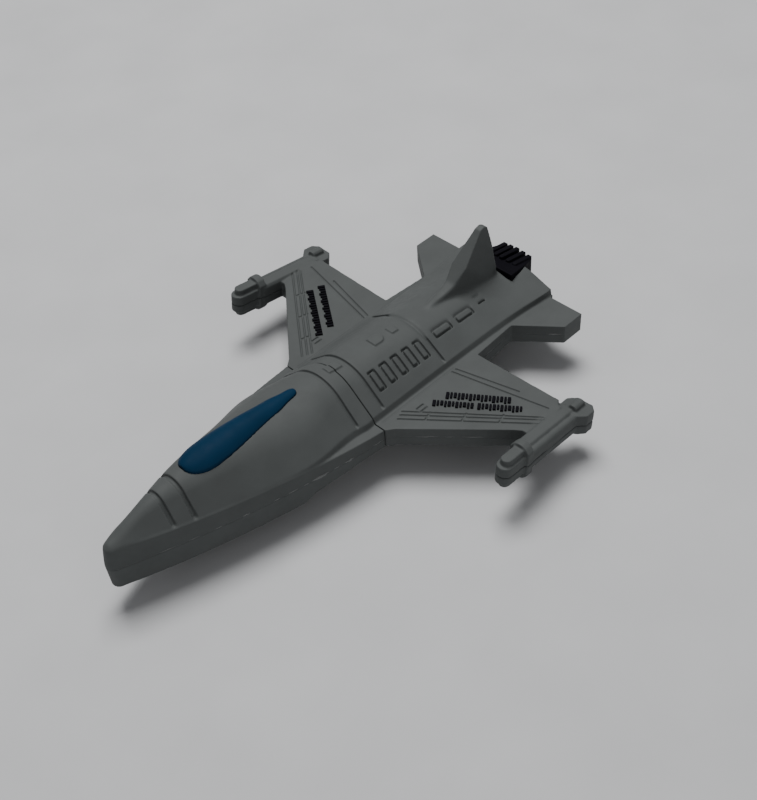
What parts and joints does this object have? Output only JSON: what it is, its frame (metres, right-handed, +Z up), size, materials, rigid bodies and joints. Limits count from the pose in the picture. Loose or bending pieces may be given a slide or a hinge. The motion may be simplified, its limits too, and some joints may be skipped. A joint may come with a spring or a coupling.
{
  "type": "toy airplane flash drive",
  "caption": "Small soft-moulded jet aircraft whose nose is a pull-off cap over a flash drive plug held in the body.",
  "frame": {"origin": "centre of the whole object's plan, on the surface that the belly rests on", "axes": "+X to the nose, +Y to the port wing, +Z up"},
  "size_m": [0.082, 0.0584, 0.021],
  "materials": {
    "grey_moulding": "soft PVC, matte",
    "blue_moulding": "soft PVC, satin",
    "black_moulding": "soft PVC, matte",
    "case_plastic": "moulded, fine grain",
    "plug_steel": "bright nickel-plated sheet",
    "tongue_plastic": "white, smooth",
    "contact_metal": "gold flash",
    "board_laminate": "green solder mask",
    "chip_resin": "moulded resin",
    "crystal_can": "drawn can",
    "capacitor_ceramic": "ceramic chip"
  },
  "bodies": {
    "airframe": {"tail_upper_shell": "grey_moulding", "tail_lower_shell": "grey_moulding", "exhaust_nozzle": "black_moulding", "left_wing_marking": "black_moulding", "right_wing_marking": "black_moulding", "inner_case_upper": "case_plastic", "inner_case_lower": "case_plastic", "plug_shell": "plug_steel", "contact_tongue": "tongue_plastic", "plug_contacts": "contact_metal", "circuit_board": "board_laminate", "memory_chip": "chip_resin", "controller_chip": "chip_resin", "crystal": "crystal_can", "capacitors": "capacitor_ceramic", "resistors": "chip_resin"},
    "cap": {"nose_upper_shell": "grey_moulding", "nose_lower_shell": "grey_moulding", "canopy": "blue_moulding", "cap_liner": "case_plastic"}
  },
  "joints": [
    {"name": "cap_pull", "type": "slide", "parent": "airframe", "child": "cap", "axis": [1, 0, 0], "range_m": [0, 0.025]}
  ]
}
